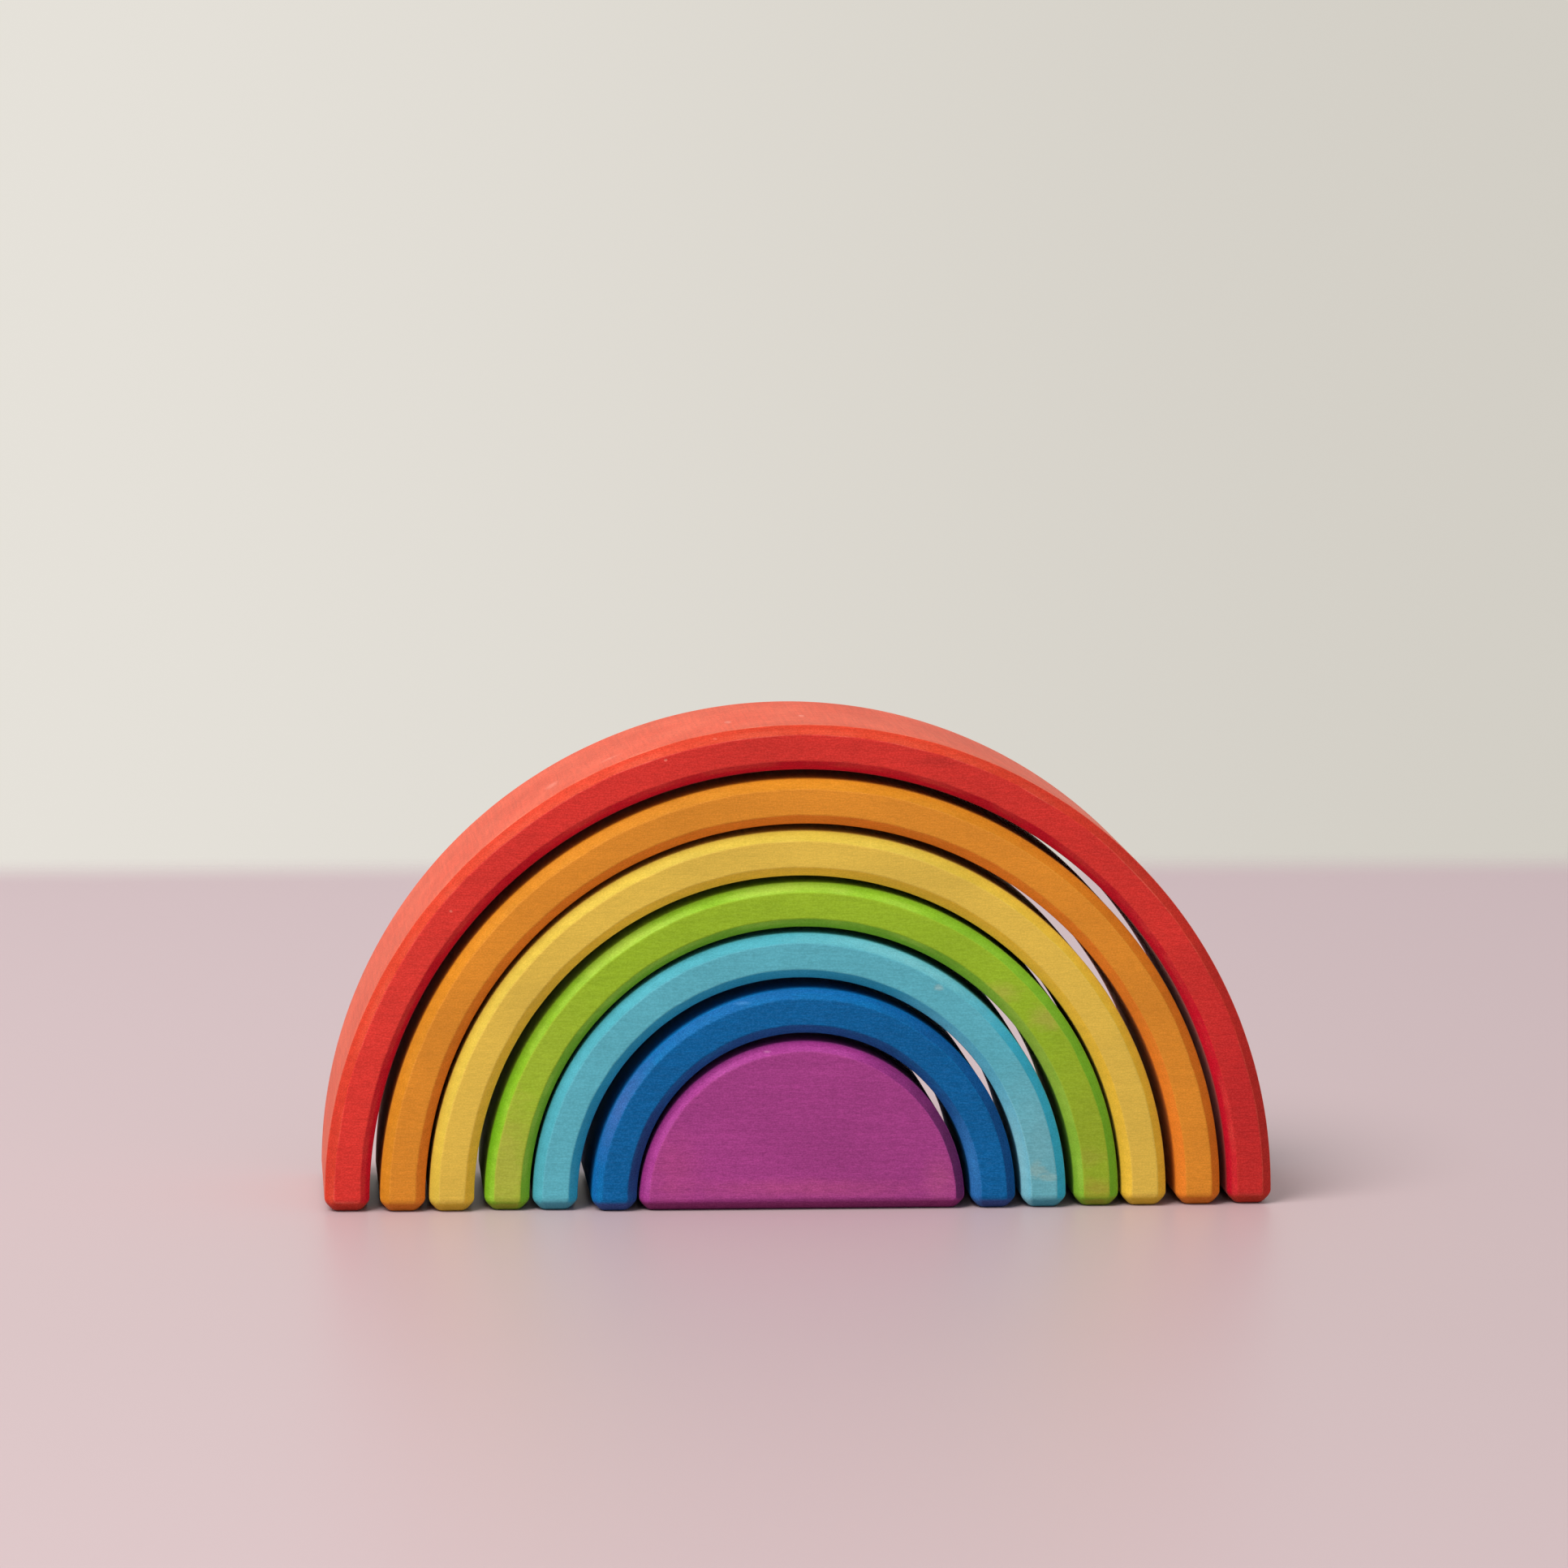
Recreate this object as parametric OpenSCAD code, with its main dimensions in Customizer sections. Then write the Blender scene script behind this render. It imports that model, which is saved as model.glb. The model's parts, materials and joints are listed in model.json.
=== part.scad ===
// Rainbow stacker: six wooden arches nested over a solid half-round block.
// Every piece is loose. It stands on its own feet and slides out of the nest to the front or the back.
// X is the width, Y the depth with the front faces towards -Y, and Z is the height above the table.

/* [Nest] */
// Outer radius of the largest arch
outer_radius = 90; // [78:1:140]
// Depth of every piece, from its front face to its back face
piece_depth = 44; // [16:1:80]
// Height of the arches' common centre above the table, which is the straight length of their legs
centre_height = 2.1; // [2:0.1:12]
// How far the centre of the half-round block lies below the centre of the arches
block_drop = 0.8; // [0:0.1:1.5]

/* [Arches] */
// Radial thickness of every arch
arch_thickness = 8.5; // [7:0.1:9.5]
// Width of the bevel along every edge, measured on either face
edge_bevel = 1.8; // [0.4:0.1:3]

/* [Gaps] */
// Radial gap between the red and the orange arch
red_orange_gap = 1.7; // [0.6:0.1:3]
// Radial gap between the orange and the yellow arch
orange_yellow_gap = 1.3; // [0.6:0.1:3]
// Radial gap between the yellow and the green arch
yellow_green_gap = 1.3; // [0.6:0.1:3]
// Radial gap between the green and the sky blue arch
green_sky_gap = 1.1; // [0.6:0.1:3]
// Radial gap between the sky blue and the dark blue arch
sky_dark_gap = 1.9; // [0.6:0.1:3]
// Radial gap between the dark blue arch and the violet block
dark_violet_gap = 0.8; // [0.6:0.1:3]

/* [Placing by hand] */
// Furthest that a piece stands before or behind the middle of the nest
push_reach = 1; // [0:0.1:5]

/* [Hidden] */
$fn = 128;

// Places in the nest, counted from the outside
RED = 0;
ORANGE = 1;
YELLOW = 2;
GREEN = 3;
SKY_BLUE = 4;
DARK_BLUE = 5;
VIOLET = 6;

gaps = [red_orange_gap, orange_yellow_gap, yellow_green_gap, green_sky_gap, sky_dark_gap, dark_violet_gap];
// Sideways lean of each piece from the middle of the arch around it, as shares of the gap between the two
lean_shares = [0.15, -0.45, 0.63, -0.34, 0.22, -0.45];
// Swing of each piece's back end to the right as it is turned, as shares of the narrower gap beside the piece
swing_shares = [0, 0, 0, 0.16, 0.31, 0, 0];
// Push of each piece to the back of the nest, as shares of push_reach
push_shares = [1, 0.35, 0, 0.43, -0.17, -1, -0.76];
// How far a cut runs past the face that it opens
overrun = 1;
half_depth = piece_depth / 2;

// Outer radius of the piece at a place in the nest
function radius_at(place) =
    place == RED ? outer_radius : radius_at(place - 1) - arch_thickness - gaps[place - 1];

// Sideways shift of the piece at a place in the nest
function shift_at(place) =
    place == RED ? 0 : shift_at(place - 1) + lean_shares[place - 1] * gaps[place - 1];

// Narrower of the gaps outside and inside the piece at a place in the nest
function narrower_gap(place) =
    min(gaps[max(place - 1, RED)], gaps[min(place, DARK_BLUE)]);

// Turn about the vertical of the piece at a place in the nest
function turn_at(place) =
    -asin(swing_shares[place] * narrower_gap(place) / half_depth);

// Section of an arch: a bar from the inner to the outer radius, with all four corners bevelled
module arch_section(outer) {
    inner = outer - arch_thickness;
    polygon([
        [inner, edge_bevel - half_depth],
        [inner + edge_bevel, -half_depth],
        [outer - edge_bevel, -half_depth],
        [outer, edge_bevel - half_depth],
        [outer, half_depth - edge_bevel],
        [outer - edge_bevel, half_depth],
        [inner + edge_bevel, half_depth],
        [inner, half_depth - edge_bevel]
    ]);
}

// Section of the half-round block from its middle to its rim, with the two rim corners bevelled
module block_section(outer) {
    polygon([
        [0, -half_depth],
        [outer - edge_bevel, -half_depth],
        [outer, edge_bevel - half_depth],
        [outer, half_depth - edge_bevel],
        [outer - edge_bevel, half_depth],
        [0, half_depth]
    ]);
}

// A section turned into a half round on straight legs that reach down to the table
module half_round(centre) {
    translate([0, 0, centre])
        rotate([90, 0, 0])
            rotate_extrude(angle = 180)
                children();
    for (side = [0, 1])
        mirror([side, 0, 0])
            linear_extrude(height = centre)
                children();
}

// Prism that bevels a bottom edge lying along Y, with the wood on its +X side
module bottom_edge_cut(length) {
    rotate([90, 0, 0])
        linear_extrude(height = length, center = true)
            polygon([[-overrun, -overrun], [edge_bevel + overrun, -overrun], [-overrun, edge_bevel + overrun]]);
}

// Cuts that bevel the bottom edges all round, front and back for the whole width up to the outer radius
module front_and_back_cuts(outer) {
    for (turn = [90, -90])
        rotate([0, 0, turn])
            translate([-half_depth, 0, 0])
                bottom_edge_cut(2 * (outer + overrun));
}

// Cuts that bevel the bottom edges on the two outer sides
module outer_side_cuts(outer) {
    for (side = [0, 1])
        mirror([side, 0, 0])
            translate([-outer, 0, 0])
                bottom_edge_cut(piece_depth + 2 * overrun);
}

// Cuts that bevel the bottom edges on the inner sides of the two legs
module inner_side_cuts(inner) {
    for (side = [0, 1])
        mirror([side, 0, 0])
            translate([inner, 0, 0])
                bottom_edge_cut(piece_depth + 2 * overrun);
}

// Where a hand left the piece at a place in the nest
module stand(place) {
    translate([shift_at(place), push_shares[place] * push_reach, 0])
        rotate([0, 0, turn_at(place)])
            children();
}

// One arch of the nest on its two bevelled feet
module arch(place) {
    outer = radius_at(place);
    stand(place)
        difference() {
            half_round(centre_height)
                arch_section(outer);
            front_and_back_cuts(outer);
            outer_side_cuts(outer);
            inner_side_cuts(outer - arch_thickness);
        }
}

module red_arch() {
    color("#d9342e")
        arch(RED);
}

module orange_arch() {
    color("#d98a2e")
        arch(ORANGE);
}

module yellow_arch() {
    color("#deb84e")
        arch(YELLOW);
}

module green_arch() {
    color("#9ab534")
        arch(GREEN);
}

module sky_blue_arch() {
    color("#62acb9")
        arch(SKY_BLUE);
}

module dark_blue_arch() {
    color("#105fa2")
        arch(DARK_BLUE);
}

// Solid half-round block in the middle of the nest
module violet_half_round() {
    outer = radius_at(VIOLET);
    color("#9e3d82")
        stand(VIOLET)
            difference() {
                half_round(centre_height - block_drop)
                    block_section(outer);
                front_and_back_cuts(outer);
                outer_side_cuts(outer);
            }
}

red_arch();
orange_arch();
yellow_arch();
green_arch();
sky_blue_arch();
dark_blue_arch();
violet_half_round();
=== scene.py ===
"""Rainbow stacker: six stained wooden arches nested over a half-round block, on a pale table.

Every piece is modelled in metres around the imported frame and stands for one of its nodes.
"""
import json
import math
from collections import namedtuple

import bmesh
import bpy
from mathutils import Matrix, Quaternion, Vector, noise


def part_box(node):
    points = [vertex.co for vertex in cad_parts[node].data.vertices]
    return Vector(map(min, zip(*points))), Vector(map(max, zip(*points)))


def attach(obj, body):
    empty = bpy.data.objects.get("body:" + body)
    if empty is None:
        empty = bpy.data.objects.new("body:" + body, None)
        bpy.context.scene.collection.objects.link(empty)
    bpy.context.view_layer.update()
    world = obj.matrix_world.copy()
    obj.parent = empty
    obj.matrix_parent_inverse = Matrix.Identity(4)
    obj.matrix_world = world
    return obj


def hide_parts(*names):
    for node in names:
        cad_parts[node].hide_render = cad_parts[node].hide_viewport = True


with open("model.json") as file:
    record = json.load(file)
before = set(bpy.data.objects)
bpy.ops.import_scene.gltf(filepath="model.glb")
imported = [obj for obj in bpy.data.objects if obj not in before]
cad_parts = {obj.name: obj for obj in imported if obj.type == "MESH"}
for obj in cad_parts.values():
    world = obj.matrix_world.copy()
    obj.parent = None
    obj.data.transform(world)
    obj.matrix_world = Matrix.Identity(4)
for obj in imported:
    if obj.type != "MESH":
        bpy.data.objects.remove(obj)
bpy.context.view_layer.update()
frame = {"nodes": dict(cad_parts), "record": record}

bl_info = {
    "name": "Rainbow Stacker",
    "version": (1, 0, 0),
    "blender": (4, 5, 0),
    "location": "View3D > Sidebar > Stacker",
    "description": "Builds a nest of stained wooden arches with a table, lights and a camera",
    "category": "Add Mesh",
}

MM = 0.001
BLOCK = "violet_half_round"
ARCHES = tuple(node for node in frame["nodes"] if node != BLOCK)


# Settings

def linear(hex_colour):
    """Linear colour of an sRGB hex value."""
    channels = (int(hex_colour[i:i + 2], 16) / 255 for i in (1, 3, 5))
    return tuple(c / 12.92 if c <= 0.04045 else ((c + 0.055) / 1.055) ** 2.4 for c in channels)


def length(name, description, millimetres):
    """A length that a user can set, given in millimetres and kept in metres."""
    return bpy.props.FloatProperty(
        name=name, description=description, default=millimetres * MM, min=0.0, unit="LENGTH", precision=5)


def tint(name, description, hex_colour):
    """A colour that a user can set."""
    return bpy.props.FloatVectorProperty(
        name=name, description=description, default=linear(hex_colour), size=3, min=0.0, max=1.0,
        subtype="COLOR")


def bearing(name, description, radians):
    """An angle that a user can set."""
    return bpy.props.FloatProperty(name=name, description=description, default=radians, subtype="ANGLE")


def share(name, description, value, most=1.0):
    """A share that a user can set, from 0 to its most."""
    return bpy.props.FloatProperty(
        name=name, description=description, default=value, min=0.0, max=most, subtype="FACTOR")


def spot(name, description, metres):
    """A point that a user can set."""
    return bpy.props.FloatVectorProperty(
        name=name, description=description, default=metres, size=3, subtype="XYZ", unit="LENGTH")


class StackerShape(bpy.types.PropertyGroup):
    """Sizes that the pieces' boxes don't give."""

    piece_depth: length("Piece depth", "Depth of every piece, from its front face to its back face", 44)
    centre_height: length("Centre height", "Height of the arches' common centre above the table", 2.1)
    block_drop: length("Block drop", "How far the block's centre lies below that of the arches", 0.8)
    arch_thickness: length("Arch thickness", "Radial thickness of every arch", 8.5)
    edge_bevel: length("Edge bevel", "Width of the bevel along every edge, on either face", 1.8)
    arris_round: length("Arris rounding", "Width of the sanded rounding on either side of an arris", 0.25)
    foot_round: length("Foot rounding", "Width of the rounding on either side of an arris of a foot", 0.7)
    wander: length("Bevel wander", "How far the hand-sanded bevel lines stray", 0.2)
    spin_step: length("Spin step", "Length of one step around the outer curve", 0.8)
    # The swing of a turned arch's back end, as a share of half its depth, is the sine of its turn
    green_arch_turn: bearing("Green turn", "Turn of the green arch about the vertical", -math.asin(0.008))
    sky_blue_arch_turn: bearing(
        "Sky blue turn", "Turn of the sky blue arch about the vertical", -math.asin(0.0155))


class StackerStains(bpy.types.PropertyGroup):
    """Colours of the stain on each piece: its faces, its outer edges, its inner edges, which partly paint in
    their shade, and painted shade on its right outer bevels.
    """

    # Each right shade colour is painted shade: the colour that the right outer bevels show in the shade away
    # from the lamp
    red_arch_face: tint("Red face", "Planed faces of the red arch", "#CF322B")
    red_arch_edge: tint("Red edge", "Outer curve and bevels of the red arch", "#CE3D24")
    # Each inside colour is the stain of the inner edges, set to take in the look of their shade, so it is
    # partly painted shade
    red_arch_inside: tint("Red inside", "Inner curve and bevels of the red arch", "#C50A28")
    red_arch_right: tint("Red right", "Right outer bevels of the red arch", "#BC221A")
    orange_arch_face: tint("Orange face", "Planed faces of the orange arch", "#D88A29")
    orange_arch_edge: tint("Orange edge", "Outer curve and bevels of the orange arch", "#CC821A")
    orange_arch_inside: tint("Orange inside", "Inner curve and bevels of the orange arch", "#E07F25")
    orange_arch_right: tint("Orange right", "Right outer bevels of the orange arch", "#D2761B")
    yellow_arch_face: tint("Yellow face", "Planed faces of the yellow arch", "#DCB94B")
    yellow_arch_edge: tint("Yellow edge", "Outer curve and bevels of the yellow arch", "#D3B843")
    yellow_arch_inside: tint("Yellow inside", "Inner curve and bevels of the yellow arch", "#EBBE3B")
    yellow_arch_right: tint("Yellow right", "Right outer bevels of the yellow arch", "#E4BC36")
    green_arch_face: tint("Green face", "Planed faces of the green arch", "#94B627")
    green_arch_edge: tint("Green edge", "Outer curve and bevels of the green arch", "#8ABC26")
    green_arch_inside: tint("Green inside", "Inner curve and bevels of the green arch", "#78B228")
    green_arch_right: tint("Green right", "Right outer bevels of the green arch", "#72B32A")
    sky_blue_arch_face: tint("Sky blue face", "Planed faces of the sky blue arch", "#5AAFBF")
    sky_blue_arch_edge: tint("Sky blue edge", "Outer curve and bevels of the sky blue arch", "#4AA6B8")
    sky_blue_arch_inside: tint("Sky blue inside", "Inner curve and bevels of the sky blue arch", "#2E9FBE")
    sky_blue_arch_right: tint("Sky blue right", "Right outer bevels of the sky blue arch", "#34ABCB")
    dark_blue_arch_face: tint("Dark blue face", "Planed faces of the dark blue arch", "#005F9C")
    dark_blue_arch_edge: tint("Dark blue edge", "Outer curve and bevels of the dark blue arch", "#0062A4")
    dark_blue_arch_inside: tint("Dark blue inside", "Inner curve and bevels of the dark blue arch", "#175292")
    dark_blue_arch_right: tint("Dark blue right", "Right outer bevels of the dark blue arch", "#084B87")
    violet_half_round_face: tint("Violet face", "Planed faces of the half-round block", "#A03E85")
    violet_half_round_edge: tint("Violet edge", "Outer curve and bevels of the half-round block", "#A2378A")
    violet_half_round_right: tint("Violet right", "Right outer bevels of the half-round block", "#68295F")
    # The worn colour serves both the wear on the bevels and the painted sheen on the outer curve
    wear_and_sheen_depth: share("Worn depth", "Share of the stain's depth that is left where it is rubbed", 0.65)
    bare_depth: share("Bare depth", "Share of the stain's depth that is left along the arrises", 0.4)
    fuzz_depth: share("Fuzz depth", "Share of the stain's depth in fibres that stand out of the wood", 0.2)
    # The soles' colour is painted shade under the feet: the stain deepened, with a little dirt mixed in
    sole_shade_depth: share("Sole depth", "Share of the stain's plain depth that is under the feet", 1.3, most=3.0)
    dirt: tint("Dirt", "Dirt that the soles pick up from tables", "#B07860")
    dirt_share: share("Dirt share", "Share of dirt in the colour of the soles", 0.08)


class StackerStage(bpy.types.PropertyGroup):
    """Table, lights and camera."""

    table_reach: length("Table reach", "Distance at which the square table fades into the wall", 465)
    table_colour: tint("Table", "Colour of the table in front", "#C1ACB1")
    # The far table colour is painted light: the table is drawn lighter towards the back
    table_far: tint("Far table", "Colour of the table at the back", "#CCB5BC")
    wall_colour: tint("Wall", "Colour of the wall on its bright left", "#E6E2DA")
    wall_shade: tint("Wall shade", "Colour of the wall on its darker right", "#D2CEC5")
    lamp_place: spot("Lamp place", "Middle of the large soft lamp", (-0.88, -0.75, 1.49))
    lamp_aim: spot("Lamp aim", "Point that the lamp looks at", (0.0, 0.0, 0.04))
    lamp_size: length("Lamp size", "Width of the lamp's round screen", 1120)
    lamp_colour: tint("Lamp colour", "Colour of the lamp's light", "#FFFAF3")
    lamp_power: bpy.props.FloatProperty(
        name="Lamp power", description="Power of the lamp", default=33.0, min=0.0, unit="POWER")
    room_colour: tint("Room colour", "Colour of the light that the room throws back", "#F4F6FA")
    room_light: share("Room light", "Strength of the light that the room throws back", 0.56)
    camera_aim: spot("Camera aim", "Point at the middle of the picture", (-0.002, 0.0, 0.0785))
    camera_distance: length("Camera distance", "Distance from the camera to its aim", 1287.5)
    camera_azimuth: bearing("Camera azimuth", "Angle around the nest, 0 in front", math.radians(-4.69))
    camera_elevation: bearing("Camera elevation", "Angle above the table", math.radians(6.92))
    camera_roll: bearing("Camera roll", "Turn of the camera about its own view", math.radians(0.34))
    camera_lens: bpy.props.FloatProperty(
        name="Lens", description="Focal length in millimetres on a 36 mm sensor", default=154.8, min=1.0,
        unit="CAMERA")


# Shapes

# An edge at which the surface turns by more than this is an arris, and not a facet of a curve
LEAST_ARRIS = math.radians(20)
# Straight leg above the bottom bevel, in widths of the foot rounding
LEG_ROOM = 1.2
# In bevel widths: the bevel lines stray above the first height, arrises below the second belong to a foot,
# and a corner that is nearer to the face's plane than the third lies on the face
STRAY_ABOVE = 0.5
FOOT_BELOW = 1.2
ON_FACE_WITHIN = 0.2
# Waves in the bevel lines: their lengths in millimetres and their shares of the wander
WAVES = ((14, 0.7), (4, 0.5))
# Steps through the noise from piece to piece and from one bevel line to the next
NOISE_PER_PIECE = 7.3
NOISE_PER_LINE = 3.1
# Facets across a rounded arris, and how strongly the large faces rule the shading
ROUND_FACETS = 3
FACE_WEIGHT = 100


class Place:
    """Where a node stands, how it is turned and how large it is.

    A piece's own frame has its origin on the axis of its curve, halfway through its depth.
    """

    def __init__(self, node, shape):
        low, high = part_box(node)
        self.height = shape.centre_height - (shape.block_drop if node == BLOCK else 0)
        self.radius = high.z - self.height
        self.depth = shape.piece_depth
        self.turn = getattr(shape, node + "_turn", 0.0)
        self.centre = Vector(((low.x + high.x) / 2, (low.y + high.y) / 2, self.height))

    def in_nest(self):
        """Transform from the piece's own frame to its stand in the nest."""
        return Matrix.Translation(self.centre) @ Matrix.Rotation(self.turn, 4, "Z")


def polar(point):
    """Angle and distance from the curve's axis of a point in a piece's own frame, straight down the legs."""
    height = max(point.z, 0.0)
    return math.atan2(height, point.x), math.hypot(point.x, height)


def on_curve(degrees, radius, depth):
    """Point in a piece's own frame at an angle, a distance from the curve's axis and a depth."""
    angle = math.radians(degrees)
    return Vector((radius * math.cos(angle), depth, radius * math.sin(angle)))


def sharp_edges(bm):
    """Edges at which the surface turns by more than the facets of a curve do."""
    return [e for e in bm.edges if e.is_manifold and e.calc_face_angle() > LEAST_ARRIS]


def spin_half_round(bm, place, corners, shape):
    """Spins a section of (radius, depth) corners over the half round, and runs its ends down to the table.

    Returns the lowest edges of the two legs.
    """
    leg_top = shape.edge_bevel + LEG_ROOM * shape.foot_round
    start = math.asin(max(leg_top - place.height, 0.0) / place.radius)
    tilt = Matrix.Rotation(-start, 3, "Y")
    verts = [bm.verts.new(tilt @ Vector((radius, depth, 0))) for radius, depth in corners]
    closed = len(corners) > 2
    pairs = zip(verts, verts[1:] + verts[:1]) if closed else zip(verts, verts[1:])
    first = [bm.edges.new(pair) for pair in pairs]
    sweep = math.pi - 2 * start
    spun = bmesh.ops.spin(
        bm, geom=verts + first, cent=(0, 0, 0), axis=(0, -1, 0), angle=sweep,
        steps=math.ceil(sweep * place.radius / shape.spin_step))
    last = [e for e in spun["geom_last"] if isinstance(e, bmesh.types.BMEdge)]
    feet = []
    above_table = Matrix.Translation((0, 0, place.height))
    for end in (first, last):
        leg = bmesh.ops.extrude_edge_only(bm, edges=end)["geom"]
        foot = [v for v in leg if isinstance(v, bmesh.types.BMVert)]
        bmesh.ops.scale(bm, verts=foot, vec=(1, 1, 0), space=above_table)
        leg_edges = [e for e in leg if isinstance(e, bmesh.types.BMEdge)]
        feet.append([e for e in leg_edges if all(v in foot for v in e.verts)])
    return feet


def bevel_all_edges(bm, offset):
    """Bevels every sharp edge of the piece."""
    bmesh.ops.recalc_face_normals(bm, faces=bm.faces)
    bmesh.ops.bevel(
        bm, geom=sharp_edges(bm), offset=offset, offset_type="OFFSET", segments=1, profile=0.5,
        affect="EDGES", clamp_overlap=True, material=-1)


def stray(place, seed, angle, line):
    """How far, from about -1 to 1, a bevel line strays at an angle: long waves and short ones."""
    along = Vector((math.cos(angle), math.sin(angle), 0)) * place.radius / MM
    offset = Vector((0, 0, NOISE_PER_PIECE * seed + NOISE_PER_LINE * line))
    return sum(part * noise.noise(along / wave + offset) for wave, part in WAVES)


def sand_bevels(bm, place, shape, seed):
    """Lets the bevel lines wander as hand sanding does, with the flat faces and curves kept true."""
    half = place.depth / 2
    middle = place.radius - shape.arch_thickness / 2
    for vert in bm.verts:
        if vert.co.z + place.height < STRAY_ABOVE * shape.edge_bevel:
            continue
        angle, radius = polar(vert.co)
        on_face = half - abs(vert.co.y) < ON_FACE_WITHIN * shape.edge_bevel
        # Every bevel line has its own number: outer or inner, on the face or the curve, at the back or front
        line = (1 if radius > middle else 0) + (2 if on_face else 0) + (4 if vert.co.y > 0 else 0)
        move = shape.wander * stray(place, seed, angle, line)
        if on_face:
            vert.co += move * Vector((math.cos(angle), 0, math.sin(angle)))
        else:
            vert.co.y += move


def weigh_arrises(bm, place, shape):
    """Weighs every arris for its rounding: those of the feet are knocked rounder than the others."""
    weight = bm.edges.layers.float.new("bevel_weight_edge")
    for edge in sharp_edges(bm):
        at_foot = all(vert.co.z + place.height < FOOT_BELOW * shape.edge_bevel for vert in edge.verts)
        edge[weight] = 1.0 if at_foot else shape.arris_round / shape.foot_round


# Materials

# Patterns in the wood: sizes of their features along X, Y and Z in millimetres, detail, distortion, and how
# far they darken and lighten the stain. The board is sawn with its fibres along X. The fibres and the pores
# are drawn several times as coarse as the real ones, so that they show.
Pattern = namedtuple("Pattern", "size detail distortion spread")
PATTERNS = {
    "fibres": Pattern((1.7, 0.2, 0.2), 1.0, 0.4, 0.09),
    "pores": Pattern((0.32, 0.22, 0.22), 0.0, 0.0, 0.075),
    "streaks": Pattern((20, 0.7, 0.7), 2.0, 0.2, 0.035),
    "clouds": Pattern((24, 15, 15), 3.0, 0.0, 0.07),
    "patches": Pattern((9, 9, 9), 4.0, 0.0, 0.0),
    "ragged": Pattern((2.4, 2.4, 1.2), 3.0, 0.0, 0.0),
}
# Noise seldom leaves this range
NOISE_RANGE = (0.3, 0.7)
# Steps along the board from piece to piece, in features of a pattern
BOARD_STEP = (31.7, 17.3, 23.9)
# Height of the fibres
FIBRE_RELIEF = 0.008 * MM

# Growth rings: their spacing, their change along the fibres as a part of that across them, how far the pieces
# lie from their pith, with the step from piece to piece, and how far they darken and lighten the curves and
# the faces
RING_SPACING = 2.7 * MM
RING_DRIFT = 0.12
FROM_PITH = (0.0, 0.004, 0.034)
FROM_PITH_STEP = (3.7, -0.003, 0.005)
RING_SPREAD = (0.05, 0.012)
# Rings of a wave texture of scale 1 lie this far apart
WAVE_LENGTH = math.pi / 10

# Marks of the saw and the cutter across the curves and bevels: how far apart and how long they are, how far
# they darken and lighten the stain, and the height that a mark would have for a spread of 1
SAW_STEP = 0.55 * MM
SAW_LENGTH = 18 * MM
SAW_SPREAD = 0.075
SAW_RELIEF = 0.15 * MM

# Brightness of a stain that shows the grain at its plain strength, and the parts of red, green and blue in it
MIDDLE_TONE = 0.25
BRIGHTNESS = (0.2126, 0.7152, 0.0722)

# Where a zone starts and where it is full, by how squarely the surface looks its way: the faces to the front
# or back, the outer curve away from its axis, the inner edges towards it, the right bevels to the right and
# the soles down
FACE_ZONE = (0.8, 0.97)
CURVE_ZONE = (0.8, 0.97)
INNER_ZONE = (-0.1, -0.45)
RIGHT_ZONE = (0.2, 0.65)
SOLE_ZONE = (-0.1, -0.6)
# How squarely a bevel looks to the front or back, and how far that may be off
BEVEL_FACING = 0.707
BEVEL_SPREAD = 0.16
# In bevel widths: the height of the soles above the table, and the depth behind the face of the rubbed half
# of a bevel
SOLE_HEIGHT = (1.2, 0.9)
RUB_DEPTH = (0.65, 0.4)
# How far an arris is rubbed, by how squarely the surface looks to the front or back: most between a curve
# and a bevel
ARRIS_STOPS = ((0.0, 0.0), (0.15, 0.0), (0.38, 1.0), (0.58, 0.0), (0.82, 0.0), (0.92, 0.4), (0.99, 0.0))

# Range of the patches over which the rubbing grows, and the least of the painted sheen on the outer curve as
# a part of the most
PATCH_RANGE = (0.38, 0.66)
CURVE_SHEEN_LEAST = 0.7
# How far the rim of a hard mark strays, as a part of its size
RAGGED_REACH = 0.7
# Range of the pores in which pale fibre ends show, and how bright these are
PALE_RANGE = (0.45, 0.75)
PALE_ENDS = 0.008
# The oil's roughness from the dips to the crests of the fibres, its gloss, and the roughness of the fuzz
WOOD_ROUGHNESS = (0.68, 0.58)
WOOD_GLOSS = 0.12
FUZZ_ROUGHNESS = 0.35

# The table's paint, and in parts of the table's reach: where its colour starts to change from front to back,
# as painted light that makes the back lighter, and has changed, where it starts to fade and has faded, and
# where it ends
PAINT_ROUGHNESS = 0.42
PAINT_IOR = 1.45
TABLE_CHANGE = (-0.3, 0.9)
TABLE_FADE = (0.94, 1.06)
TABLE_END = 1.1

# Colours of a piece's stain: as it was laid on, with its inside partly painted shade, painted shade on its
# right outer bevels, where it is rubbed thin or paled by a painted sheen, where it is bare, on the soles
# deepened as painted shade with a little dirt, and in the fuzz
Stain = namedtuple("Stain", "face edge inside right worn bare sole fuzz")
# Nodes for a point on a piece: its place, that place by axis, the surface's lean by axis, and how squarely
# the surface looks to the front or back and away from the curve's axis
Surface = namedtuple("Surface", "where offset lean facing outward")
# Nodes for how far a point belongs to each zone of a piece
Zones = namedtuple("Zones", "face outer inner right_bevel rubbed_bevel curve arris sole")

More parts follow.
